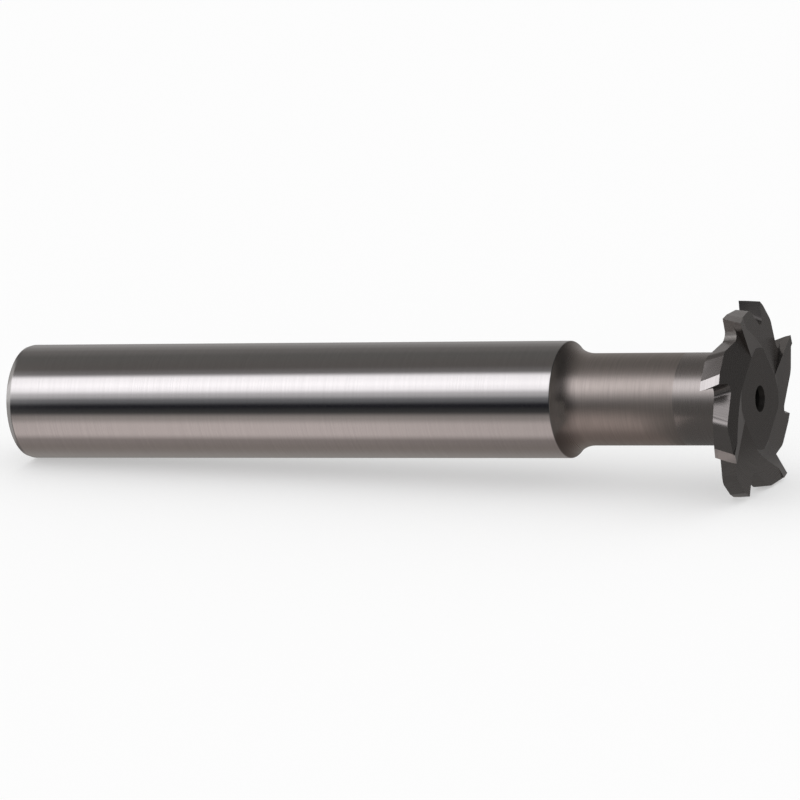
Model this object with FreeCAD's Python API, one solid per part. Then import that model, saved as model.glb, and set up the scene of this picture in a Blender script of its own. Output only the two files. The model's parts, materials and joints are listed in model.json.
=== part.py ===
import FreeCAD, Part
import math
import os

# T-slot cutter, ground from one bar: a plain shank, a slimmer neck and a disc-shaped head
# with staggered teeth. It lies on two teeth and the end of its shank. +X runs towards the head.
# Lengths are in millimetres and angles in degrees.

# Shank
SHANK_DIAMETER = 9.525
SHANK_LENGTH = 49.4
END_BREAK_LENGTH = 0.42
END_BREAK_DEPTH = 0.12

# Neck, ground below the shank by the relief, and the hollow shoulder that leads down to it
NECK_RELIEF = 1.02
NECK_LENGTH = 14.3
SHOULDER_RADIUS = 2.73
NECK_CORNER_RADIUS = 0.25

# Head
HEAD_DIAMETER = 15.875
HEAD_WIDTH = 2.4
FRONT_DISH = 0.34
REAR_DISH = 0.2
TOOTH_PAIRS = 4
RADIAL_RAKE_ANGLE = 9.0
HELIX_ANGLE = 21.0

# Back of a tooth: the land behind the edge, the relief behind that, then the slope to the gullet
LAND_WIDTH = 0.8
LAND_CLEARANCE_ANGLE = 11.0
RELIEF_WIDTH = 2.25
RELIEF_CLEARANCE_ANGLE = 24.0
BACK_ROUNDING = 1.1
BACK_CLEARANCE_ANGLE = 68.0
GULLET_RADIUS = 0.6

# Side gashes: a pocket ahead of each side edge, on alternate sides of the head. Its floor has two
# slopes. One falls outwards from a line beside the centre hole or the hub ring to the gash's depth
# at the rim. The other is the back of the next side land and falls away behind it. The wall under
# a side edge leans back with depth.
FRONT_GASH_DEPTH = 1.15
REAR_GASH_DEPTH = 0.95
FRONT_GASH_TO_HOLE = 1.3
REAR_GASH_TO_HUB = 0.1
GASH_WALL_LEAN = 14.0
SIDE_LAND_WIDTH = 0.72
SIDE_LAND_STEP = 0.12
SIDE_BACK_CLEARANCE_ANGLE = 8.0
HUB_MARGIN = 0.11

# Centre hole in the front of the head
CENTRE_HOLE_DIAMETER = 1.7
CENTRE_HOLE_DEPTH = 2.4
CENTRE_HOLE_POINT_ANGLE = 118.0
CENTRE_MOUTH_BEVEL = 0.22
CENTRE_MOUTH_ANGLE = 60.0

# How far the cutting tools reach past the metal they remove
OVERSHOOT = 1.2

SHANK_RADIUS = SHANK_DIAMETER / 2
NECK_RADIUS = SHANK_RADIUS - NECK_RELIEF
HEAD_RADIUS = HEAD_DIAMETER / 2
TEETH = 2 * TOOTH_PAIRS
PITCH = 360.0 / TEETH
HEAD_REAR = SHANK_LENGTH + NECK_LENGTH
HEAD_FRONT = HEAD_REAR + HEAD_WIDTH
HEAD_MIDDLE = HEAD_REAR + HEAD_WIDTH / 2
BLANK_RADIUS = HEAD_RADIUS + OVERSHOOT / 4
HUB_RADIUS = NECK_RADIUS + NECK_CORNER_RADIUS + HUB_MARGIN
HOLE_RADIUS = CENTRE_HOLE_DIAMETER / 2
MOUTH_RADIUS = HOLE_RADIUS + CENTRE_MOUTH_BEVEL
FRONT_GASH_START = MOUTH_RADIUS + FRONT_GASH_TO_HOLE
REAR_GASH_START = HUB_RADIUS + REAR_GASH_TO_HUB
OUTER_REACH = HEAD_RADIUS + OVERSHOOT
AXIS = FreeCAD.Vector(1, 0, 0)
CENTRE = FreeCAD.Vector(0, 0, 0)


def polar(x, radius, angle):
    """Point at an axial place, a radius and an angle about the axis, counted from +Y to +Z."""
    turn = math.radians(angle)
    return FreeCAD.Vector(x, radius * math.cos(turn), radius * math.sin(turn))


def direction(angle):
    """Unit vector across the axis at an angle counted from +Y to +Z."""
    return polar(0, 1.0, angle)


def crossing(start, way, other_start, other_way):
    """Point where two lines in one plane across the axis meet."""
    gap = other_start - start
    share = way.y * other_way.z - way.z * other_way.y
    along = (gap.y * other_way.z - gap.z * other_way.y) / share
    return start + way * along


def reach_out(start, way, radius):
    """Point where a line that leaves start towards way comes to a radius about the axis."""
    inner = start.y * way.y + start.z * way.z
    square = start.y ** 2 + start.z ** 2 - radius ** 2
    return start + way * (-inner + math.sqrt(inner ** 2 - square))


def turned_profile(edges):
    """Solid of revolution about the axis from edges given in the XY plane."""
    return Part.Face(Part.Wire(edges)).revolve(CENTRE, AXIS, 360)


def line(start, end):
    return Part.LineSegment(start, end).toShape()


def on_profile(x, radius):
    return FreeCAD.Vector(x, radius, 0)


def body_blank():
    """Shank, shoulder, neck and a plain disc for the head, all turned in one piece."""
    arc_centre_radius = NECK_RADIUS + SHOULDER_RADIUS
    drop = math.acos((arc_centre_radius - SHANK_RADIUS) / SHOULDER_RADIUS)
    neck_start = SHANK_LENGTH + SHOULDER_RADIUS * math.sin(drop)
    half = drop / 2
    arc_middle = on_profile(neck_start - SHOULDER_RADIUS * math.sin(half),
                            arc_centre_radius - SHOULDER_RADIUS * math.cos(half))
    corner = NECK_CORNER_RADIUS
    lean = corner * (1 - math.sqrt(0.5))
    end_inner = on_profile(0, SHANK_RADIUS - END_BREAK_DEPTH)
    end_outer = on_profile(END_BREAK_LENGTH, SHANK_RADIUS)
    shank_edge = on_profile(SHANK_LENGTH, SHANK_RADIUS)
    neck_rear = on_profile(neck_start, NECK_RADIUS)
    neck_end = HEAD_REAR + REAR_DISH
    hub_face = HEAD_FRONT - FRONT_DISH
    neck_front = on_profile(neck_end - corner, NECK_RADIUS)
    corner_middle = on_profile(neck_end - lean, NECK_RADIUS + lean)
    corner_end = on_profile(neck_end, NECK_RADIUS + corner)
    hub_rear = on_profile(neck_end, HUB_RADIUS)
    dish_rear = on_profile(HEAD_REAR, HEAD_RADIUS)
    rim_rear = on_profile(HEAD_REAR, BLANK_RADIUS)
    rim_front = on_profile(HEAD_FRONT, BLANK_RADIUS)
    dish_front = on_profile(HEAD_FRONT, HEAD_RADIUS)
    hub_front = on_profile(hub_face, HUB_RADIUS)
    nose = on_profile(hub_face, 0)
    edges = [
        line(CENTRE, end_inner),
        line(end_inner, end_outer),
        line(end_outer, shank_edge),
        Part.Arc(shank_edge, arc_middle, neck_rear).toShape(),
        line(neck_rear, neck_front),
        Part.Arc(neck_front, corner_middle, corner_end).toShape(),
        line(corner_end, hub_rear),
        line(hub_rear, dish_rear),
        line(dish_rear, rim_rear),
        line(rim_rear, rim_front),
        line(rim_front, dish_front),
        line(dish_front, hub_front),
        line(hub_front, nose),
        line(nose, CENTRE),
    ]
    return turned_profile(edges)


def centre_hole():
    """Drilled hole in the front of the head, with a conical mouth and a drill point."""
    mouth_depth = CENTRE_MOUTH_BEVEL / math.tan(math.radians(CENTRE_MOUTH_ANGLE / 2))
    point_depth = HOLE_RADIUS / math.tan(math.radians(CENTRE_HOLE_POINT_ANGLE / 2))
    face = HEAD_FRONT - FRONT_DISH
    floor = face - CENTRE_HOLE_DEPTH
    corners = [
        on_profile(face + OVERSHOOT, 0),
        on_profile(face + OVERSHOOT, MOUTH_RADIUS),
        on_profile(face, MOUTH_RADIUS),
        on_profile(face - mouth_depth, HOLE_RADIUS),
        on_profile(floor, HOLE_RADIUS),
        on_profile(floor - point_depth, 0),
    ]
    edges = [line(a, b) for a, b in zip(corners, corners[1:] + corners[:1])]
    return turned_profile(edges)


def rounded_corner(before, corner, after, radius):
    """Ends and middle of the arc that rounds a corner between two straight edges."""
    back = (before - corner).normalize()
    ahead = (after - corner).normalize()
    half = back.getAngle(ahead) / 2
    run = radius / math.tan(half)
    middle_way = (back + ahead).normalize()
    to_centre = radius / math.sin(half)
    middle = corner + middle_way * (to_centre - radius)
    return corner + back * run, middle, corner + ahead * run


def gullet_outline(x, edge_angle, next_angle):
    """Outline across the axis of the space between a tooth's face and the next tooth's back."""
    edge = polar(x, HEAD_RADIUS, edge_angle)
    face_in = direction(edge_angle + 180 + RADIAL_RAKE_ANGLE)
    next_edge = polar(x, HEAD_RADIUS, next_angle)
    land_way = direction(next_angle - LAND_CLEARANCE_ANGLE - 90)
    heel = next_edge + land_way * LAND_WIDTH
    relief_way = direction(next_angle - RELIEF_CLEARANCE_ANGLE - 90)
    relief_end = heel + relief_way * RELIEF_WIDTH
    back_way = direction(next_angle - BACK_CLEARANCE_ANGLE - 90)
    corner = crossing(edge, face_in, relief_end, back_way)
    face_foot, foot_middle, back_foot = rounded_corner(edge, corner, relief_end, GULLET_RADIUS)
    back_end, back_middle, relief_stop = rounded_corner(back_foot, relief_end, heel, BACK_ROUNDING)
    face_out = reach_out(edge, face_in * -1, OUTER_REACH)
    land_out = reach_out(next_edge, land_way * -1, OUTER_REACH)
    rim_middle = polar(x, OUTER_REACH, (edge_angle + next_angle) / 2)
    return Part.Wire([
        line(face_out, face_foot),
        Part.Arc(face_foot, foot_middle, back_foot).toShape(),
        line(back_foot, back_end),
        Part.Arc(back_end, back_middle, relief_stop).toShape(),
        line(relief_stop, heel),
        line(heel, land_out),
        Part.Arc(land_out, rim_middle, face_out).toShape(),
    ])


def gullet(edge_angle):
    """Space ahead of a tooth that leads at the front, twisted because the teeth lean in turn."""
    half_reach = HEAD_WIDTH / 2 + OVERSHOOT
    lead = math.degrees(half_reach * math.tan(math.radians(HELIX_ANGLE)) / HEAD_RADIUS)
    next_angle = edge_angle + PITCH
    rear = gullet_outline(HEAD_MIDDLE - half_reach, edge_angle - lead, next_angle + lead)
    front = gullet_outline(HEAD_MIDDLE + half_reach, edge_angle + lead, next_angle - lead)
    return Part.makeLoft([rear, front], True, True)


def front_edge_angle(edge_angle):
    """Angle of a leaning tooth's corner on the front of the head."""
    run = HEAD_WIDTH / 2 * math.tan(math.radians(HELIX_ANGLE))
    return edge_angle + math.degrees(run / HEAD_RADIUS)


def prism(points, way):
    """Solid swept from a closed outline along a vector."""
    edges = [line(a, b) for a, b in zip(points, points[1:] + points[:1])]
    return Part.Face(Part.Wire(edges)).extrude(way)


def metal_side(point, outward):
    """Large block that fills the side of a plane towards which outward points."""
    side = 4 * HEAD_RADIUS
    block = Part.makeBox(side, side, side, FreeCAD.Vector(-side / 2, -side / 2, 0))
    block.Placement = FreeCAD.Placement(point, FreeCAD.Rotation(FreeCAD.Vector(0, 0, 1), outward))
    return block


def side_gash(edge_angle, depth, dish, start):
    """Pocket ahead of a tooth's side edge, up to the side land of the tooth after the next."""
    corner_angle = front_edge_angle(edge_angle)
    slant = math.tan(math.radians(GASH_WALL_LEAN))
    edge = polar(HEAD_FRONT, HEAD_RADIUS, corner_angle)
    outward = direction(corner_angle + RADIAL_RAKE_ANGLE)
    behind = direction(corner_angle + RADIAL_RAKE_ANGLE - 90)
    lift = (AXIS - behind * slant) * OVERSHOOT
    sweep = (AXIS - behind * slant) * -(HEAD_WIDTH + 2 * OVERSHOOT)
    next_corner = corner_angle + 2 * PITCH
    next_outward = direction(next_corner + RADIAL_RAKE_ANGLE)
    next_behind = direction(next_corner + RADIAL_RAKE_ANGLE - 90)
    land_back = polar(HEAD_FRONT, HEAD_RADIUS, next_corner) + next_behind * SIDE_LAND_WIDTH
    face_end = reach_out(edge, outward, 2 * OUTER_REACH)
    land_end = reach_out(land_back, next_outward, 2 * OUTER_REACH)
    inner = crossing(edge, outward, land_back, next_outward)
    pocket = prism([face_end + lift, inner + lift, land_end + lift], sweep)
    fall = (depth - dish) / (HEAD_RADIUS - start)
    hub_line = outward * start + AXIS * (HEAD_FRONT - dish)
    floor = metal_side(hub_line, AXIS + outward * fall)
    back_fall = math.tan(math.radians(SIDE_BACK_CLEARANCE_ANGLE))
    back = metal_side(land_back - AXIS * SIDE_LAND_STEP, AXIS + next_behind * back_fall)
    return pocket.common(floor).common(back)


def tooth_spaces():
    """All gullets and gashes: half of them lead at the front and half at the rear.

    The gashes on the rear stay off the hub ring and the neck.
    """
    spaces = []
    hub = Part.makeCylinder(HUB_RADIUS, HEAD_FRONT, CENTRE, AXIS)
    middle = polar(HEAD_MIDDLE, 0, 0)
    for pair in range(TOOTH_PAIRS):
        front_edge = PITCH / 2 + pair * 2 * PITCH
        rear_edge = front_edge + PITCH
        spaces.append(gullet(front_edge))
        spaces.append(side_gash(front_edge, FRONT_GASH_DEPTH, FRONT_DISH, FRONT_GASH_START))
        spaces.append(gullet(rear_edge).mirror(middle, AXIS))
        rear_gash = side_gash(rear_edge, REAR_GASH_DEPTH, REAR_DISH, REAR_GASH_START)
        spaces.append(rear_gash.mirror(middle, AXIS).cut(hub))
    return spaces


def laid_down(cutter):
    """The cutter as it rests on two teeth and the end of its shank, centred over its box."""
    lead = front_edge_angle(0)
    head_drop = HEAD_RADIUS * math.cos(math.radians(PITCH / 2 - lead))
    rise = math.atan2(head_drop - SHANK_RADIUS, HEAD_REAR - END_BREAK_LENGTH)
    cutter.rotate(CENTRE, FreeCAD.Vector(0, 1, 0), -math.degrees(rise))
    box = cutter.optimalBoundingBox(False, False)
    cutter.translate(FreeCAD.Vector(-box.Center.x, -box.Center.y, -box.ZMin))
    return cutter


def t_slot_cutter():
    cutter = body_blank().cut(tooth_spaces())
    cutter = cutter.cut(centre_hole())
    return laid_down(cutter)


os.makedirs("parts", exist_ok=True)
solid = t_slot_cutter()
solid.exportStep("parts/t_slot_cutter.step")
print("solids", len(solid.Solids), "valid", solid.isValid(), "volume", round(solid.Volume, 2))
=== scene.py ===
"""T-slot cutter: a bright plain shank, a satin neck and a ground head with staggered teeth.

Lengths are in metres and angles in radians, unless a name or a comment says otherwise. Tool axes
run along the cutter's axis, across it and up, and start at the middle of the shank's end.
"""

import json
import math

import bpy
import numpy as np
from bpy.props import FloatProperty, FloatVectorProperty, IntProperty, PointerProperty
from mathutils import Matrix


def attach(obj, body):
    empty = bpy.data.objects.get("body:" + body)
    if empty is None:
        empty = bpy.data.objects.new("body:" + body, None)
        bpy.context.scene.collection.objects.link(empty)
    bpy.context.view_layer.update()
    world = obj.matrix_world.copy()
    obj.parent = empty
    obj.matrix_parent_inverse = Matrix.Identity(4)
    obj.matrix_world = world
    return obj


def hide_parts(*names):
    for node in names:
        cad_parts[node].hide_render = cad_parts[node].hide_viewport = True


bl_info = {
    "name": "T-slot cutter",
    "version": (1, 0, 0),
    "blender": (4, 5, 0),
    "location": "3D View > Sidebar > Cutter",
    "description": "Builds a T-slot cutter with ground steel finishes on a pale floor",
    "category": "Object",
}

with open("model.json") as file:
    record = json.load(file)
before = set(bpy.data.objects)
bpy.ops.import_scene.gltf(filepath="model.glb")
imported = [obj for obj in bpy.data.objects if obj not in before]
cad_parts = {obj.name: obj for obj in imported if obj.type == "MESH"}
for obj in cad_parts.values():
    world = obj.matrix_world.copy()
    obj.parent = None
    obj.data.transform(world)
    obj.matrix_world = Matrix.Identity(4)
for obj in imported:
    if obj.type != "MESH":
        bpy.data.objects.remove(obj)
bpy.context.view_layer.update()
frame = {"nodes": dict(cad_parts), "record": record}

MM = 0.001
NODE = "t_slot_cutter"
BODY = "root"

MOUNTS = {mount["name"]: mount for mount in frame["record"]["mounts"]}
SHANK_RADIUS = MOUNTS["shank"]["dims"]["r_mm"] * MM
END_CENTRE = np.array(MOUNTS["shank_end"]["pos_m"])
ALONG = -np.array(MOUNTS["shank_end"]["axis"])
ACROSS = np.array([0.0, 1.0, 0.0])
UPWARD = np.cross(ALONG, ACROSS)
TOOL_AXES = np.stack([ALONG, ACROSS, UPWARD])

# Points of the frame's mesh that are this close lie at one place or on one circle
CLOSE = 2e-6
# Points that round to the same step of a tenth of a micron become one
STEPS_PER_METRE = 1e7
# The shank ends before this share of the cutter's length, and the neck before the second one
SHANK_SHARE = 0.9
NECK_SHARE = 0.94

# Points on the rounding of each turned edge, and how many times fewer the neck's corner has than
# the shoulder's arc
END_EDGE_POINTS, BREAK_EDGE_POINTS, SHOULDER_EDGE_POINTS = 5, 4, 6
CORNER_PART = 3
# Stretches of a profile that meet at less than this angle are shaded as one
CREASE_ANGLE = math.radians(28)

# A land at the rim faces away from the axis, within this cosine, and lies outside this share of
# the head's radius. What is cut under it leans more.
RIM_COSINE = 0.965
RIM_SHARE = 0.98
# A land on a side faces along the axis, within this cosine, and lies outside this share of the
# radius. It is no deeper under the tips than a land's depth and the dish, which falls inwards.
SIDE_COSINE = 0.99
SIDE_SHARE = 0.5
TIP_SHARE = 0.97
DISH_SLOPE = 0.1
LAND_DEPTH = 0.02 * MM
# The centre hole lies inside the first share of the head's radius, and its ring inside the second
HOLE_SHARE = 0.14
RING_SHARE = 2 * HOLE_SHARE

# The finishes in the order of their numbers: the material's name, its name in the settings, and
# its wheel lines. They are counted along the axis or by radius, spacing and fade are in mm,
# contrast is how much darker the dark ones are, and depth is in metres. Growth holds two places
# along the axis in mm, between which the roughness grows from a share of its value to the whole.
FINISHES = (
    ("Bright ground shank", "shank",
     {"across": "Along", "spacing": 0.09, "fade": 6.0, "contrast": 0.06, "depth": 0.6e-6}),
    ("Satin neck", "neck",
     {"across": "Along", "spacing": 0.12, "fade": 3.0, "contrast": 0.12, "depth": 1.0e-6,
      "growth": (49.8, 51.8, 0.6)}),
    ("Ground collar", "collar",
     {"across": "Along", "spacing": 0.1, "fade": 9.0, "contrast": 0.05, "depth": 0.3e-6}),
    ("Ground flutes", "flute",
     {"across": "Radius", "spacing": 0.1, "fade": 2.0, "contrast": 0.15, "depth": 1.0e-6}),
    ("Bright lands", "land",
     {"across": "Along", "spacing": 0.08, "fade": 2.0, "contrast": 0.08, "depth": 0.6e-6}),
    # The inside of the centre hole gets a near-black colour: painted shade in that recess
    ("Dark hole", "hole",
     {"across": "Radius", "spacing": 0.1, "fade": 2.0, "contrast": 0.15, "depth": 1.0e-6}),
)
(SHANK_FINISH, NECK_FINISH, COLLAR_FINISH, FLUTE_FINISH, LAND_FINISH,
 HOLE_SHADE_FINISH) = range(len(FINISHES))

# The wheel lines' noise: its detail and roughness, the values between which the colour and the
# gloss change, and the share by which the roughness departs from its mean
NOISE_DETAIL, NOISE_ROUGHNESS = 3.0, 0.65
COLOUR_NOISE = (0.35, 0.65)
GLOSS_NOISE = (0.3, 0.7)
GLOSS_SPREAD = 0.1

# What steel sees round the tool's axis: (height over the front horizon in degrees, level)
STUDIO = (
    (-180, (0.34, 0.33, 0.325)),
    (-165, (0.24, 0.23, 0.225)),
    (-145, (0.29, 0.275, 0.26)),
    (-130, (0.32, 0.295, 0.28)),
    (-92, (0.27, 0.235, 0.22)),
    (-74, (0.30, 0.26, 0.25)),
    (-55, (0.66, 0.58, 0.56)),
    (-36, (0.66, 0.58, 0.56)),
    (-20, (0.36, 0.325, 0.31)),
    (-8, (0.05, 0.05, 0.05)),
    (4, (0.01, 0.01, 0.015)),
    (15, (0.17, 0.17, 0.18)),
    (26, (0.60, 0.585, 0.60)),
    (38, (1.42, 1.38, 1.42)),
    (46, (1.60, 1.56, 1.60)),
    (60, (1.42, 1.38, 1.42)),
    (72, (0.20, 0.19, 0.19)),
    (85, (0.125, 0.115, 0.11)),
    (115, (0.13, 0.125, 0.12)),
    (135, (0.18, 0.17, 0.165)),
    (150, (0.26, 0.25, 0.245)),
    (167, (0.35, 0.34, 0.335)),
    (180, (0.34, 0.33, 0.325)),
)
# The softbox ends before the head: its level falls to the rest between these shares of the way
# towards the head's end
SOFTBOX_REACH = (-0.38, 0.56)
SOFTBOX_REST = 0.07
# The floor's level falls by this factor for every whole step that way, from its own start
FLOOR_START = -0.38
FLOOR_FALL = 0.3
# The floor's fall gives way to the softbox's between these heights
HORIZON = (-0.3, 0.1)
# What steel that faces the shank's end sees, over the same angle, between these shares
REAR_STUDIO = (
    (-180, (0.20, 0.19, 0.19)),
    (-130, (0.16, 0.145, 0.14)),
    (-95, (0.20, 0.18, 0.17)),
    (-65, (0.20, 0.18, 0.175)),
    (-30, (0.14, 0.13, 0.125)),
    (0, (0.10, 0.10, 0.10)),
    (30, (0.90, 0.88, 0.88)),
    (60, (1.20, 1.16, 1.18)),
    (85, (0.40, 0.38, 0.37)),
    (115, (0.16, 0.155, 0.15)),
    (150, (0.12, 0.115, 0.11)),
    (180, (0.20, 0.19, 0.19)),
)
REAR_REACH = (-0.52, -0.65)
# Straight behind and before the tool an even grey comes in between two shares of the way. It
# rises to a share of the whole, so that some of the studio still shows.
END_LEVELS = (
    ((-0.70, -0.80), (0.58, 0.57, 0.56)),
    ((0.66, 0.92), (0.15, 0.145, 0.14)),
)
END_SHARE = 0.6

WHITE = (1.0, 1.0, 1.0, 1.0)
BLACK = (0.0, 0.0, 0.0, 1.0)
# Colour in which the painted shade cards glow
SHADE_CARD_GLOW = (1.0, 0.97, 0.95, 1.0)
# Painted shade: dark glowing cards before the head and on the floor under it, which only reflections
# see, stand for the tool's shadow on the floor as the steel reflects it. Corners are in mm of tool axes,
# and the last number is a card's level.
PAINTED_SHADE_CARDS = {
    "front_card": (((54, -12, -5.6), (72, -12, -5.6), (72, -12, 2.2), (54, -12, 2.2)), 0.12),
    "floor_card": (((52.4, -18, -7.35), (60.3, -18, -7.35), (60.3, -11.8, -7.35), (72, -11.8, -7.35),
                    (72, 10, -7.35), (57, 10, -7.35), (57, -2, -7.35)), 0.15),
}
# Rays that don't see the cards
OTHER_RAYS = ("camera", "diffuse", "transmission", "volume_scatter", "shadow")

SENSOR_WIDTH_MM = 36.0
CLIP_START, CLIP_END = 0.01, 20.0


def to_tool(points):
    """Points as (along the axis, across, up), counted from the middle of the shank's end."""
    return (np.asarray(points) - END_CENTRE) @ TOOL_AXES.T


def from_tool(points):
    """Points given in tool axes, put where the cutter lies."""
    return np.asarray(points) @ TOOL_AXES + END_CENTRE


def frame_mesh(node):
    """Merged points and triangles of a frame node, in tool axes, with a normal for every corner.

    The corners keep the normals of the surfaces that they came from, so round faces stay round
    and edges stay crisp.
    """
    mesh = node.data
    mesh.calc_loop_triangles()
    points = np.empty(len(mesh.vertices) * 3)
    mesh.vertices.foreach_get("co", points)
    corners = np.empty(len(mesh.loop_triangles) * 3, dtype=np.int32)
    mesh.loop_triangles.foreach_get("vertices", corners)
    loops = np.empty(len(mesh.loop_triangles) * 3, dtype=np.int32)
    mesh.loop_triangles.foreach_get("loops", loops)
    normals = np.empty(len(mesh.loops) * 3)
    mesh.corner_normals.foreach_get("vector", normals)
    points = points.reshape(-1, 3)
    steps = np.round(points * STEPS_PER_METRE).astype(np.int64)
    _, first, merged = np.unique(steps, axis=0, return_index=True, return_inverse=True)
    triangles = merged.reshape(-1)[corners].reshape(-1, 3)
    normals = (normals.reshape(-1, 3)[loops] @ TOOL_AXES.T).reshape(-1, 3, 3)
    a, b, c = triangles.T
    whole = (a != b) & (b != c) & (c != a)
    return to_tool(points[first]), triangles[whole], normals[whole]


def measured_outline(points, corner):
    """Corner points (along, radius) of the turned body, measured on the frame's own mesh.

    The shank runs between the first and last place that has its radius. The neck is the smallest
    radius between shank and head, and the hub ring is the circle on the rear of the head that
    lies one corner radius past the neck.
    """
    along = points[:, 0]
    radius = np.hypot(points[:, 1], points[:, 2])
    length = along.max()
    on_shank = (np.abs(radius - SHANK_RADIUS) < CLOSE) & (along < SHANK_SHARE * length)
    shank_stop = along[on_shank].max()
    behind_head = (along > shank_stop + CLOSE) & (along < NECK_SHARE * length)
    neck_radius = radius[behind_head].min()
    on_neck = (np.abs(radius - neck_radius) < CLOSE) & (along > shank_stop)
    neck_stop = along[on_neck].max()
    hub_place = neck_stop + corner
    on_hub = (np.abs(along - hub_place) < CLOSE) & (radius < SHANK_RADIUS)
    return {
        "end": (0.0, radius[along < CLOSE].max()),
        "shank_start": (along[on_shank].min(), SHANK_RADIUS),
        "shank_stop": (shank_stop, SHANK_RADIUS),
        "neck_start": (along[on_neck].min(), neck_radius),
        "neck_stop": (neck_stop, neck_radius),
        "corner_stop": (hub_place, neck_radius + corner),
        "hub": (hub_place, radius[on_hub].max()),
    }


def hollow_arc(start, end, count):
    """Arc that leaves start at a slope and runs level into end, as evenly turned points.

    With a drop d and a run w the arc's radius is (w * w + d * d) / (2 * d) and its centre stands
    straight over the end.
    """
    run, drop = end[0] - start[0], start[1] - end[1]
    radius = (run ** 2 + drop ** 2) / (2 * drop)
    first = math.asin(run / radius)
    turn = np.linspace(first, 0.0, count)
    return np.stack([end[0] - radius * np.sin(turn), end[1] + radius * (1 - np.cos(turn))], axis=1)


def level_arc(start, end, count):
    """Quarter circle that leaves start level along the axis and ends straight outwards.

    A point is (start + radius * sin(turn), start + radius * (1 - cos(turn))).
    """
    radius = end[0] - start[0]
    turn = np.linspace(0.0, math.pi / 2, count)
    return np.stack([start[0] + radius * np.sin(turn), start[1] + radius * (1 - np.cos(turn))], axis=1)


def eased(before, corner, after, reach, count):
    """Corner of an outline rounded by a parabola that starts and ends a reach away from it.

    A point is (1 - t) squared * start + 2 * t * (1 - t) * corner + t squared * stop.
    """
    before, corner, after = (np.asarray(p, dtype=float) for p in (before, corner, after))
    start = corner + (before - corner) * reach / np.linalg.norm(before - corner)
    stop = corner + (after - corner) * reach / np.linalg.norm(after - corner)
    t = np.linspace(0.0, 1.0, count)[:, None]
    return (1 - t) ** 2 * start + 2 * t * (1 - t) * corner + t ** 2 * stop


def body_outline(outline, sizes):
    """Outline (along, radius) of shank, shoulder and neck, with its outer edges slightly eased.

    A fine groove parts the neck from the finer ground collar before the head. Returns the points
    and the finish number of each stretch between two points. The collar starts at the groove's
    floor.
    """
    ease, count = sizes.edge_ease, sizes.arc_steps
    shoulder = hollow_arc(outline["shank_stop"], outline["neck_start"], count)
    corner = level_arc(outline["neck_stop"], outline["corner_stop"], count // CORNER_PART)
    end_edge = eased((0.0, 0.0), outline["end"], outline["shank_start"], ease, END_EDGE_POINTS)
    break_edge = eased(outline["end"], outline["shank_start"], outline["shank_stop"], ease,
                       BREAK_EDGE_POINTS)
    shoulder_edge = eased(outline["shank_start"], outline["shank_stop"], shoulder[1], ease,
                          SHOULDER_EDGE_POINTS)
    shank = np.concatenate([end_edge, break_edge, shoulder_edge])
    middle = outline["neck_stop"][0] - sizes.collar
    surface, half = outline["neck_stop"][1], sizes.groove_width / 2
    floor = surface - sizes.groove_depth
    groove = [(middle - half, surface), (middle, floor), (middle + half, surface)]
    first_neck = len(shank) - 1
    first_collar = first_neck + len(shoulder) + 1
    points = np.concatenate([shank, shoulder[1:], groove, corner])
    stretch = np.arange(len(points) - 1)
    finish = np.where(stretch < first_neck, SHANK_FINISH, NECK_FINISH)
    finish[stretch >= first_collar] = COLLAR_FINISH
    return points, finish


def turned_surface(profile, segments):
    """Points of a profile turned about the axis, as rings, and the rings' angles.

    A ring's point is (along, radius * cos(turn), radius * sin(turn)).
    """
    turn = np.arange(segments) * (2 * math.pi / segments)
    along, radius = profile.T
    rings = np.empty((len(profile), segments, 3))
    rings[:, :, 0] = along[:, None]
    rings[:, :, 1] = radius[:, None] * np.cos(turn)
    rings[:, :, 2] = radius[:, None] * np.sin(turn)
    return rings, turn


def profile_normals(profile):
    """Outward slopes (along, radius) at both ends of every stretch of a profile.

    A stretch's own normal is its direction turned by a quarter. Where two stretches meet within
    a small angle the shared point takes their mean, so arcs shade round and edges stay crisp.
    """
    step = np.diff(profile, axis=0)
    own = np.stack([-step[:, 1], step[:, 0]], axis=1)
    own /= np.linalg.norm(own, axis=1)[:, None]
    length = np.linalg.norm(step, axis=1)
    start, stop = own.copy(), own.copy()
    gentle = (own[:-1] * own[1:]).sum(1) > math.cos(CREASE_ANGLE)
    shared = own[:-1] * length[1:, None] + own[1:] * length[:-1, None]
    shared /= np.linalg.norm(shared, axis=1)[:, None]
    stop[:-1][gentle] = shared[gentle]
    start[1:][gentle] = shared[gentle]
    return start, stop


def ring_faces(rows, segments):
    """Corner numbers of the faces between neighbouring rings, facing away from the axis."""
    row = np.arange(rows - 1)[:, None] * segments
    here = np.arange(segments)[None, :]
    after = (here + 1) % segments
    faces = np.stack([row + here, row + after, row + segments + after, row + segments + here], axis=2)
    return faces.reshape(-1, 4)


def swung(slopes, turn):
    """Normals (along, radius) swung round the axis to every angle of turn."""
    out = np.empty((len(slopes), len(turn), 3))
    out[:, :, 0] = slopes[:, :1]
    out[:, :, 1] = slopes[:, 1:] * np.cos(turn)
    out[:, :, 2] = slopes[:, 1:] * np.sin(turn)
    return out


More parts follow.
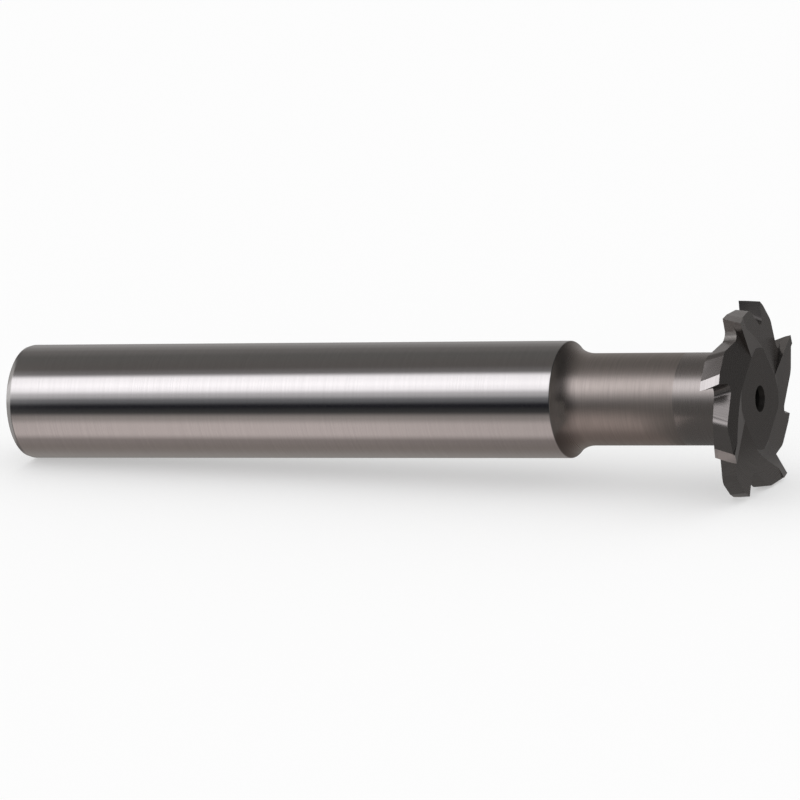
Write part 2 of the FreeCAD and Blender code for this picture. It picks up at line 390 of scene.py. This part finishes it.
def joined_rings(inner_turn, outer_turn, inner_first, outer_index):
    """Triangles of a flat band between two rings that have different numbers of points.

    Every step along one ring makes a triangle with the other ring's last point before it. The
    faces look towards the shank's end.
    """
    inner_count, outer_count = len(inner_turn), len(outer_turn)
    outer_of = np.searchsorted(outer_turn, np.append(inner_turn[1:], 2 * math.pi), "right") - 1
    inner_here = np.arange(inner_count)
    inner_next = (inner_here + 1) % inner_count
    steps_in = np.stack([inner_first + inner_here, inner_first + inner_next,
                         outer_index[outer_of % outer_count]], axis=1)
    wrapped = np.append(outer_turn[1:], outer_turn[0] + 2 * math.pi)
    inner_of = np.searchsorted(inner_turn, np.mod(wrapped, 2 * math.pi), "left") - 1
    outer_here = np.arange(outer_count)
    outer_next = (outer_here + 1) % outer_count
    steps_out = np.stack([outer_index[outer_next], outer_index[outer_here],
                          inner_first + inner_of % inner_count], axis=1)
    return np.concatenate([steps_in, steps_out])


def head_part(points, triangles, normals, outline):
    """The toothed head out of the frame's mesh: what lies outside the hub ring or past it.

    The centre hole reaches back into the neck and stays with the head. Returns the head's points,
    triangles and normals, and its open edge's points and angles in order round the axis.
    """
    along = points[:, 0]
    radius = np.hypot(points[:, 1], points[:, 2])
    hub_place, hub_radius = outline["hub"]
    behind = along < outline["neck_stop"][0] + CLOSE
    under_ring = (along < hub_place + CLOSE) & (radius < hub_radius + CLOSE)
    in_hole = (along > outline["neck_start"][0]) & (radius < HOLE_SHARE * radius.max())
    turned = behind[triangles].all(1) | under_ring[triangles].all(1)
    turned &= ~in_hole[triangles].all(1)
    triangles, normals = triangles[~turned], normals[~turned]
    used, compact = np.unique(triangles, return_inverse=True)
    triangles = compact.reshape(-1, 3)
    points = points[used]
    edges = np.concatenate([triangles[:, [0, 1]], triangles[:, [1, 2]], triangles[:, [2, 0]]])
    edges = np.sort(edges, axis=1)
    pairs, count = np.unique(edges, axis=0, return_counts=True)
    ring = np.unique(pairs[count == 1])
    turn = np.mod(np.arctan2(points[ring, 2], points[ring, 1]), 2 * math.pi)
    order = np.argsort(turn)
    return points, triangles, normals, ring[order], turn[order]


def head_finish(points, triangles):
    """Finish number of each face of the head: ground land, flute, or inside of the centre hole, which is
    painted dark as painted shade.

    The depth of a side land is counted from the foremost and the rearmost tips.
    """
    a, b, c = (points[triangles[:, corner]] for corner in range(3))
    normal = np.cross(b - a, c - a)
    normal /= np.linalg.norm(normal, axis=1)[:, None]
    middle = (a + b + c) / 3
    radius = np.hypot(middle[:, 1], middle[:, 2])
    point_radius = np.hypot(points[:, 1], points[:, 2])
    largest = radius.max()
    outward = (normal[:, 1] * middle[:, 1] + normal[:, 2] * middle[:, 2]) / radius
    at_rim = (outward > RIM_COSINE) & (radius > RIM_SHARE * largest)
    face = points[point_radius < RING_SHARE * largest, 0].max()
    in_hole = (radius < HOLE_SHARE * largest) & (middle[:, 0] < face - CLOSE)
    tips = points[point_radius > TIP_SHARE * largest, 0]
    depth = np.where(normal[:, 0] > 0, tips.max() - middle[:, 0], middle[:, 0] - tips.min())
    dish = DISH_SLOPE * (largest - radius)
    on_side = (np.abs(normal[:, 0]) > SIDE_COSINE) & (depth < dish + LAND_DEPTH)
    on_side &= radius > SIDE_SHARE * largest
    finish = np.where(at_rim | on_side, LAND_FINISH, FLUTE_FINISH)
    # Faces inside the hole take the painted shade
    return np.where(in_hole, HOLE_SHADE_FINISH, finish)


def cutter_arrays(sizes):
    """The whole cutter as one closed surface: points, faces, corner normals and finish numbers.

    The turned body is worked out anew as fine rings, and a point in the middle of the shank's end
    closes it. The head comes out of the frame, and a flat band joins the last ring to its hub
    ring.
    """
    points, triangles, normals = frame_mesh(frame["nodes"][NODE])
    outline = measured_outline(points, sizes.neck_corner)
    head, head_faces, head_normals, hub_ring, hub_turn = head_part(points, triangles, normals, outline)
    profile, stretch_finish = body_outline(outline, sizes)
    rings, turn = turned_surface(profile, sizes.segments)
    rows, segments = rings.shape[:2]
    pole = rows * segments
    head_first = pole + 1
    last_ring = pole - segments
    all_points = np.concatenate([rings.reshape(-1, 3), [[0.0, 0.0, 0.0]], head])

    quads = ring_faces(rows, segments)
    here = np.arange(segments)
    cap = np.stack([np.full(segments, pole), (here + 1) % segments, here], axis=1)
    band = joined_rings(turn, hub_turn, last_ring, hub_ring + head_first)
    faces = [quads, cap, band, head_faces + head_first]

    start, stop = (swung(slopes, turn) for slopes in profile_normals(profile))
    quad_normals = np.stack([start, np.roll(start, -1, 1), np.roll(stop, -1, 1), stop], axis=2)
    towards_end = np.array([-1.0, 0.0, 0.0])
    flat_normals = np.tile(towards_end, (3 * (len(cap) + len(band)), 1))
    corner_normals = np.concatenate([quad_normals.reshape(-1, 3), flat_normals,
                                     head_normals.reshape(-1, 3)])
    finish = np.concatenate([
        np.repeat(stretch_finish, segments),
        np.full(len(cap), SHANK_FINISH),
        np.full(len(band), COLLAR_FINISH),
        head_finish(head, head_faces),
    ])
    return all_points, faces, corner_normals, finish


def mesh_object(name, points, faces, corner_normals, finish):
    """Mesh object from whole arrays, with its own corner normals and a material number per face."""
    mesh = bpy.data.meshes.new(name)
    sizes = np.concatenate([np.full(len(group), group.shape[1]) for group in faces])
    corners = np.concatenate([group.reshape(-1) for group in faces]).astype(np.int32)
    mesh.vertices.add(len(points))
    mesh.vertices.foreach_set("co", from_tool(points).astype(np.float32).reshape(-1))
    mesh.loops.add(len(corners))
    mesh.loops.foreach_set("vertex_index", corners)
    mesh.polygons.add(len(sizes))
    starts = np.concatenate([[0], np.cumsum(sizes)[:-1]]).astype(np.int32)
    mesh.polygons.foreach_set("loop_start", starts)
    mesh.polygons.foreach_set("material_index", finish.astype(np.int32))
    mesh.update(calc_edges=True)
    mesh.polygons.foreach_set("use_smooth", np.ones(len(sizes), dtype=bool))
    mesh.normals_split_custom_set(corner_normals @ TOOL_AXES)
    mesh.validate()
    piece = bpy.data.objects.new(name, mesh)
    bpy.context.scene.collection.objects.link(piece)
    return piece


def rgba(colour):
    """Colour with full alpha, as a shader's sockets take it."""
    return tuple(colour) + (1.0,)


def add_node(tree, kind, values=None, **settings):
    """Node of a kind, with settings as attributes.

    Values are for its inputs, by name or number. A socket feeds its input, and anything else is
    set on it.
    """
    node = tree.nodes.new(kind)
    for key, value in settings.items():
        setattr(node, key, value)
    for key, value in (values or {}).items():
        if isinstance(value, bpy.types.NodeSocket):
            tree.links.new(value, node.inputs[key])
        else:
            node.inputs[key].default_value = value
    return node


def calculate(tree, operation, *terms, clamp=False):
    """Output of a Math node whose inputs are numbers or sockets."""
    return add_node(tree, "ShaderNodeMath", dict(enumerate(terms)), operation=operation,
                    use_clamp=clamp).outputs[0]


def vector_math(tree, operation, *terms):
    """Output of a Vector Math node whose inputs are vectors or sockets."""
    return add_node(tree, "ShaderNodeVectorMath", dict(enumerate(terms)), operation=operation).outputs[0]


def scaled_range(tree, value, low, high, to_low, to_high, shape="LINEAR"):
    """Output of a Map Range node that takes low..high to to_low..to_high."""
    return add_node(tree, "ShaderNodeMapRange", {0: value, 1: low, 2: high, 3: to_low, 4: to_high},
                    interpolation_type=shape).outputs[0]


def blended(tree, share, first, second):
    """Output of a colour mix whose inputs are colours or sockets."""
    return add_node(tree, "ShaderNodeMix", {0: share, 6: first, 7: second}, data_type="RGBA").outputs[2]


def tool_parts(tree, way):
    """A vector's parts along, across and upward: its dot products with the three tool axes."""
    return [add_node(tree, "ShaderNodeVectorMath", {0: way, 1: tuple(axis)},
                     operation="DOT_PRODUCT").outputs["Value"] for axis in TOOL_AXES]


def new_group(name, inputs, outputs):
    """Shader node group with float or vector inputs (name, default) and outputs (name, kind)."""
    group = bpy.data.node_groups.new(name, "ShaderNodeTree")
    for label, default in inputs:
        kind = "NodeSocketVector" if isinstance(default, tuple) else "NodeSocketFloat"
        socket = group.interface.new_socket(label, in_out="INPUT", socket_type=kind)
        socket.default_value = default
    for label, kind in outputs:
        group.interface.new_socket(label, in_out="OUTPUT", socket_type=kind)
    return group, group.nodes.new("NodeGroupInput"), group.nodes.new("NodeGroupOutput")


def tool_place_group():
    """Where a point lies in tool axes, in mm: along the axis, its radius, and the whole place.

    Each coordinate is the dot product of one tool axis with the way from the shank's end, and the
    radius is the root of across squared + upward squared.
    """
    group, _, out = new_group("Tool place", [], [
        ("Along", "NodeSocketFloat"), ("Radius", "NodeSocketFloat"), ("Place", "NodeSocketVector")])
    source = add_node(group, "ShaderNodeTexCoord").outputs["Object"]
    from_end = vector_math(group, "SUBTRACT", source, tuple(END_CENTRE))
    in_mm = add_node(group, "ShaderNodeVectorMath", {0: from_end, "Scale": 1 / MM},
                     operation="SCALE").outputs[0]
    parts = tool_parts(group, in_mm)
    place = add_node(group, "ShaderNodeCombineXYZ", dict(enumerate(parts))).outputs[0]
    squares = [calculate(group, "MULTIPLY", part, part) for part in parts[1:]]
    radius = calculate(group, "SQRT", calculate(group, "ADD", *squares))
    for label, value in (("Along", parts[0]), ("Radius", radius), ("Place", place)):
        group.links.new(value, out.inputs[label])
    return group


def grinding_group():
    """Fine lines that a wheel leaves: noise packed tightly across the lines, slow along them.

    Across is the distance across the lines in mm. Spacing is their pitch in mm, and Fade is how
    far a line runs, in mm, before it gives way to another. The noise is taken at
    place / fade + (across / spacing, 0, 0).
    """
    group, given, out = new_group("Grinding lines", [
        ("Across", 0.0), ("Place", (0.0, 0.0, 0.0)), ("Spacing", 0.1), ("Fade", 4.0)],
        [("Height", "NodeSocketFloat")])
    packed = calculate(group, "DIVIDE", given.outputs["Across"], given.outputs["Spacing"])
    slow = vector_math(group, "DIVIDE", given.outputs["Place"], given.outputs["Fade"])
    shift = add_node(group, "ShaderNodeCombineXYZ", {0: packed}).outputs[0]
    noise = add_node(group, "ShaderNodeTexNoise", {
        "Vector": vector_math(group, "ADD", slow, shift),
        "Scale": 1.0, "Detail": NOISE_DETAIL, "Roughness": NOISE_ROUGHNESS})
    group.links.new(noise.outputs[0], out.inputs["Height"])
    return group


def new_material(name, values):
    """Material with constants on its shader. Returns material, tree and shader."""
    material = bpy.data.materials.new(name)
    material.use_nodes = True
    tree = material.node_tree
    shader = tree.nodes["Principled BSDF"]
    for key, value in values.items():
        shader.inputs[key].default_value = value
    return material, tree, shader


def steel_material(name, groups, colour, roughness, lines):
    """Ground steel: fine wheel lines that shift its colour, roughness and height a little."""
    material, tree, shader = new_material(name, {"Metallic": 1.0})
    place = add_node(tree, "ShaderNodeGroup", node_tree=groups["place"])
    wheel = add_node(tree, "ShaderNodeGroup", {
        "Across": place.outputs[lines["across"]], "Place": place.outputs["Place"],
        "Spacing": lines["spacing"], "Fade": lines["fade"]}, node_tree=groups["grinding"])
    height = wheel.outputs["Height"]
    dark = rgba((1 - lines["contrast"]) * c for c in colour)
    tone = scaled_range(tree, height, *COLOUR_NOISE, 0.0, 1.0)
    tree.links.new(blended(tree, tone, dark, rgba(colour)), shader.inputs["Base Color"])
    rough = scaled_range(tree, height, *GLOSS_NOISE,
                         roughness * (1 + GLOSS_SPREAD), roughness * (1 - GLOSS_SPREAD))
    if "growth" in lines:
        start, stop, share = lines["growth"]
        growth = scaled_range(tree, place.outputs["Along"], start, stop, share, 1.0, "SMOOTHSTEP")
        rough = calculate(tree, "MULTIPLY", rough, growth)
    tree.links.new(rough, shader.inputs["Roughness"])
    bump = add_node(tree, "ShaderNodeBump", {
        "Strength": 1.0, "Distance": lines["depth"], "Height": height})
    tree.links.new(bump.outputs[0], shader.inputs["Normal"])
    return material


def level_ramp(tree, share, levels, top):
    """Colour ramp over a whole turn, from levels that run from -180 to 180 degrees.

    A new stop moves the later ones on, so both ends get their colours first.
    """
    ramp = add_node(tree, "ShaderNodeValToRGB", {0: share})
    ramp.color_ramp.interpolation = "EASE"
    stops = ramp.color_ramp.elements
    stops[0].color = rgba(c / top for c in levels[0][1])
    stops[1].color = rgba(c / top for c in levels[-1][1])
    for degrees, colour in levels[1:-1]:
        stop = stops.new((degrees + 180) / 360)
        stop.color = rgba(c / top for c in colour)
    return ramp.outputs[0]


def studio_world(scene):
    """World that gives the floor an even white light, and steel a studio with a softbox before it.

    The studio's level is a ramp over the angle round the tool's axis, atan2(up, -across), times a
    fall towards the head's end: a smooth step over the horizon and an exponential under it.
    Towards the shank's end a second ramp takes over, and straight before and behind the tool an
    even grey comes in.
    """
    world = bpy.data.worlds.new("Studio")
    scene.world = world
    world.use_nodes = True
    tree = world.node_tree
    tree.nodes.clear()
    way = add_node(tree, "ShaderNodeTexCoord").outputs["Generated"]
    along, across, upward = tool_parts(tree, way)
    turn = calculate(tree, "ARCTAN2", upward, calculate(tree, "MULTIPLY", across, -1.0))
    share = scaled_range(tree, turn, -math.pi, math.pi, 0.0, 1.0)
    top = max(max(colour) for _, colour in STUDIO)
    around = level_ramp(tree, share, STUDIO, top)
    softbox_fall = scaled_range(tree, along, *SOFTBOX_REACH, 1.0, SOFTBOX_REST, "SMOOTHSTEP")
    past_start = calculate(tree, "SUBTRACT", along, FLOOR_START)
    floor_fall = calculate(tree, "POWER", FLOOR_FALL, past_start, clamp=True)
    over_horizon = scaled_range(tree, upward, *HORIZON, 0.0, 1.0, "SMOOTHSTEP")
    fall = blended(tree, over_horizon, floor_fall, softbox_fall)
    seen = vector_math(tree, "MULTIPLY", around, fall)
    rear_share = scaled_range(tree, along, *REAR_REACH, 0.0, 1.0, "SMOOTHSTEP")
    seen = blended(tree, rear_share, seen, level_ramp(tree, share, REAR_STUDIO, top))
    for reach, level in END_LEVELS:
        end_share = scaled_range(tree, along, *reach, 0.0, END_SHARE, "SMOOTHSTEP")
        seen = blended(tree, end_share, seen, rgba(c / top for c in level))
    steel_light = add_node(tree, "ShaderNodeBackground", {"Color": seen, "Strength": top})
    even_light = add_node(tree, "ShaderNodeBackground", {"Color": WHITE, "Strength": 1.0})
    path = add_node(tree, "ShaderNodeLightPath")
    mix = add_node(tree, "ShaderNodeMixShader", {
        0: path.outputs["Is Glossy Ray"], 1: even_light.outputs[0], 2: steel_light.outputs[0]})
    add_node(tree, "ShaderNodeOutputWorld", {"Surface": mix.outputs[0]})


def flat_sheet(name, points, material):
    """One flat face through some points, linked to the scene."""
    mesh = bpy.data.meshes.new(name)
    mesh.from_pydata(points, [], [tuple(range(len(points)))])
    mesh.materials.append(material)
    sheet = bpy.data.objects.new(name, mesh)
    bpy.context.scene.collection.objects.link(sheet)
    return sheet


def pale_floor(settings):
    """Square matt floor that glows a little, so that shadows stay soft. Reflections miss it."""
    half = settings.floor_size / 2
    material, _, _ = new_material("Pale floor", {
        "Base Color": rgba(settings.floor_colour), "Roughness": 1.0, "Specular IOR Level": 0.0,
        "Emission Color": WHITE, "Emission Strength": settings.floor_glow})
    corners = [(-half, -half, 0), (half, -half, 0), (half, half, 0), (-half, half, 0)]
    floor = flat_sheet("floor", corners, material)
    floor.visible_glossy = False
    return floor


def painted_shade_card(name, corners, level):
    """Flat glowing card of an even level that only reflections see: painted shade that stands for the
    tool's shadow on the floor.
    """
    material, _, _ = new_material(name, {
        "Base Color": BLACK, "Specular IOR Level": 0.0,
        "Emission Color": SHADE_CARD_GLOW, "Emission Strength": level})
    card = flat_sheet(name, from_tool(np.array(corners) * MM).tolist(), material)
    # Painted shade: the card hides from every ray but reflections
    for ray in OTHER_RAYS:
        setattr(card, "visible_" + ray, False)
    return card


def place_camera(scene, settings):
    """Camera at a yaw and pitch about the tool's axis, looking at a place on it.

    From that place the camera lies along (sin yaw, -cos yaw cos pitch, cos yaw sin pitch) in tool
    axes. Its right and up are square to that, and the roll turns both.
    """
    yaw, pitch, roll = settings.yaw, settings.pitch, settings.roll
    back = np.array([math.sin(yaw), -math.cos(yaw) * math.cos(pitch), math.cos(yaw) * math.sin(pitch)])
    up = np.array([0.0, math.sin(pitch), math.cos(pitch)])
    right = np.cross(up, back)
    rolled_right = right * math.cos(roll) - up * math.sin(roll)
    rolled_up = right * math.sin(roll) + up * math.cos(roll)
    place = from_tool(np.array([settings.aim, 0.0, 0.0]) + back * settings.distance)
    axes = np.stack([rolled_right, rolled_up, back]) @ TOOL_AXES
    matrix = Matrix.Identity(4)
    for column, axis in enumerate([*axes, place]):
        for row in range(3):
            matrix[row][column] = axis[row]
    data = bpy.data.cameras.new("camera")
    data.lens = settings.lens
    data.sensor_width = SENSOR_WIDTH_MM
    data.clip_start, data.clip_end = CLIP_START, CLIP_END
    camera = bpy.data.objects.new("camera", data)
    camera.matrix_world = matrix
    scene.collection.objects.link(camera)
    scene.camera = camera


class CutterSizes(bpy.types.PropertyGroup):
    """Sizes of what is worked out anew on the turned body"""
    neck_corner: FloatProperty(name="Neck corner", description="Radius between neck and head",
                               default=0.25 * MM, min=0.05 * MM, subtype="DISTANCE", unit="LENGTH")
    edge_ease: FloatProperty(name="Edge ease", description="Reach of the rounding on turned edges",
                             default=0.05 * MM, min=0.005 * MM, subtype="DISTANCE", unit="LENGTH")
    segments: IntProperty(name="Segments", description="Points on each turned ring", default=288,
                          min=48)
    arc_steps: IntProperty(name="Arc steps", description="Points on the shoulder's arc", default=30,
                           min=6)
    collar: FloatProperty(name="Collar", description="Finer ground stretch of neck before the head",
                          default=3.95 * MM, min=1.0 * MM, subtype="DISTANCE", unit="LENGTH")
    groove_width: FloatProperty(name="Groove width", description="Width of the fine ring on the neck",
                                default=0.16 * MM, min=0.02 * MM, subtype="DISTANCE", unit="LENGTH")
    groove_depth: FloatProperty(name="Groove depth", description="Depth of the fine ring on the neck",
                                default=0.006 * MM, min=0.0, subtype="DISTANCE", unit="LENGTH")


class CutterFinish(bpy.types.PropertyGroup):
    """Colour and roughness of each finish of the steel"""
    shank: FloatVectorProperty(name="Shank", description="Colour of the bright shank",
                               default=(0.64, 0.63, 0.625), subtype="COLOR")
    shank_roughness: FloatProperty(name="Shank roughness", description="Roughness of the shank",
                                   default=0.115, min=0.0, max=1.0, subtype="FACTOR")
    neck: FloatVectorProperty(name="Neck", description="Colour of the satin neck",
                              default=(0.49, 0.44, 0.412), subtype="COLOR")
    neck_roughness: FloatProperty(name="Neck roughness", description="Roughness of the neck",
                                  default=0.4, min=0.0, max=1.0, subtype="FACTOR")
    collar: FloatVectorProperty(name="Collar", description="Colour of the neck before the head",
                                default=(0.425, 0.395, 0.38), subtype="COLOR")
    collar_roughness: FloatProperty(name="Collar roughness", description="Roughness of that stretch",
                                    default=0.28, min=0.0, max=1.0, subtype="FACTOR")
    flute: FloatVectorProperty(name="Flutes", description="Colour of flutes and side pockets",
                               default=(0.385, 0.365, 0.355), subtype="COLOR")
    flute_roughness: FloatProperty(name="Flute roughness", description="Roughness of the flutes",
                                   default=0.27, min=0.0, max=1.0, subtype="FACTOR")
    land: FloatVectorProperty(name="Lands", description="Colour of the ground lands",
                              default=(0.59, 0.57, 0.56), subtype="COLOR")
    land_roughness: FloatProperty(name="Land roughness", description="Roughness of the lands",
                                  default=0.3, min=0.0, max=1.0, subtype="FACTOR")
    # Near-black colour inside the hole: painted shade in that recess
    hole: FloatVectorProperty(name="Hole", description="Colour inside the centre hole",
                              default=(0.09, 0.085, 0.08), subtype="COLOR")
    hole_roughness: FloatProperty(name="Hole roughness", description="Roughness inside the hole",
                                  default=0.5, min=0.0, max=1.0, subtype="FACTOR")


class StageSettings(bpy.types.PropertyGroup):
    """View and floor"""
    yaw: FloatProperty(name="Yaw", description="Turn of the view from square on towards the head",
                       default=math.radians(24.5), subtype="ANGLE", unit="ROTATION")
    pitch: FloatProperty(name="Pitch", description="Height of the view over the tool's axis",
                         default=math.radians(14.8), subtype="ANGLE", unit="ROTATION")
    roll: FloatProperty(name="Roll", description="Tilt of the picture",
                        default=math.radians(0.2), subtype="ANGLE", unit="ROTATION")
    distance: FloatProperty(name="Distance", description="From the camera to the axis",
                            default=0.5172, subtype="DISTANCE", unit="LENGTH")
    aim: FloatProperty(name="Aim", description="Place on the axis in the picture's middle",
                       default=0.0341, subtype="DISTANCE", unit="LENGTH")
    lens: FloatProperty(name="Lens", description="Focal length in millimetres on a 36 mm sensor",
                        default=283.5)
    floor_colour: FloatVectorProperty(name="Floor", description="Colour of the floor",
                                      default=(0.56, 0.56, 0.56), subtype="COLOR")
    floor_glow: FloatProperty(name="Floor glow", description="Light of its own that softens shadows",
                              default=0.42, min=0.0, max=1.0)
    floor_size: FloatProperty(name="Floor size", description="Side of the square floor",
                              default=4.0, subtype="DISTANCE", unit="LENGTH")


class CUTTER_OT_build(bpy.types.Operator):
    """Build the cutter as one closed piece with its ground finishes"""
    bl_idname = "cutter.build"
    bl_label = "Cutter"

    def execute(self, context):
        settings = context.scene.cutter_finish
        groups = {"place": tool_place_group(), "grinding": grinding_group()}
        piece = mesh_object("cutter", *cutter_arrays(context.scene.cutter_sizes))
        for name, part, lines in FINISHES:
            colour = getattr(settings, part)
            roughness = getattr(settings, part + "_roughness")
            piece.data.materials.append(steel_material(name, groups, colour, roughness, lines))
        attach(piece, BODY)
        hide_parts(NODE)
        return {"FINISHED"}


class CUTTER_OT_stage(bpy.types.Operator):
    """Build the pale floor, the studio light and the camera"""
    bl_idname = "cutter.stage"
    bl_label = "Stage"

    def execute(self, context):
        scene = context.scene
        settings = scene.cutter_stage
        floor = pale_floor(settings)
        # Painted shade in reflections: dark glowing cards for the tool's shadow on the floor
        for name, (corners, level) in PAINTED_SHADE_CARDS.items():
            painted_shade_card(name, corners, level)
        studio_world(scene)
        place_camera(scene, settings)
        scene.view_settings.view_transform = "Standard"
        return {"FINISHED"}


class CUTTER_PT_panel(bpy.types.Panel):
    """Sidebar panel with the pieces and their settings"""
    bl_idname = "CUTTER_PT_panel"
    bl_label = "Cutter"
    bl_space_type = "VIEW_3D"
    bl_region_type = "UI"
    bl_category = "Cutter"

    def draw(self, context):
        layout = self.layout
        for operator in (CUTTER_OT_build, CUTTER_OT_stage):
            layout.operator(operator.bl_idname)
        for settings in ("cutter_sizes", "cutter_finish", "cutter_stage"):
            group = getattr(context.scene, settings)
            box = layout.box()
            for name in group.bl_rna.properties.keys():
                if name not in ("rna_type", "name"):
                    box.prop(group, name)


CLASSES = (CutterSizes, CutterFinish, StageSettings, CUTTER_OT_build, CUTTER_OT_stage, CUTTER_PT_panel)


def register():
    """Registers the classes and hangs the settings on the scene."""
    for item in CLASSES:
        bpy.utils.register_class(item)
    bpy.types.Scene.cutter_sizes = PointerProperty(type=CutterSizes)
    bpy.types.Scene.cutter_finish = PointerProperty(type=CutterFinish)
    bpy.types.Scene.cutter_stage = PointerProperty(type=StageSettings)


def unregister():
    """Takes back what register did."""
    del bpy.types.Scene.cutter_stage
    del bpy.types.Scene.cutter_finish
    del bpy.types.Scene.cutter_sizes
    for item in reversed(CLASSES):
        bpy.utils.unregister_class(item)


def main():
    register()
    bpy.ops.cutter.build()
    bpy.ops.cutter.stage()


if __name__ == "__main__":
    main()
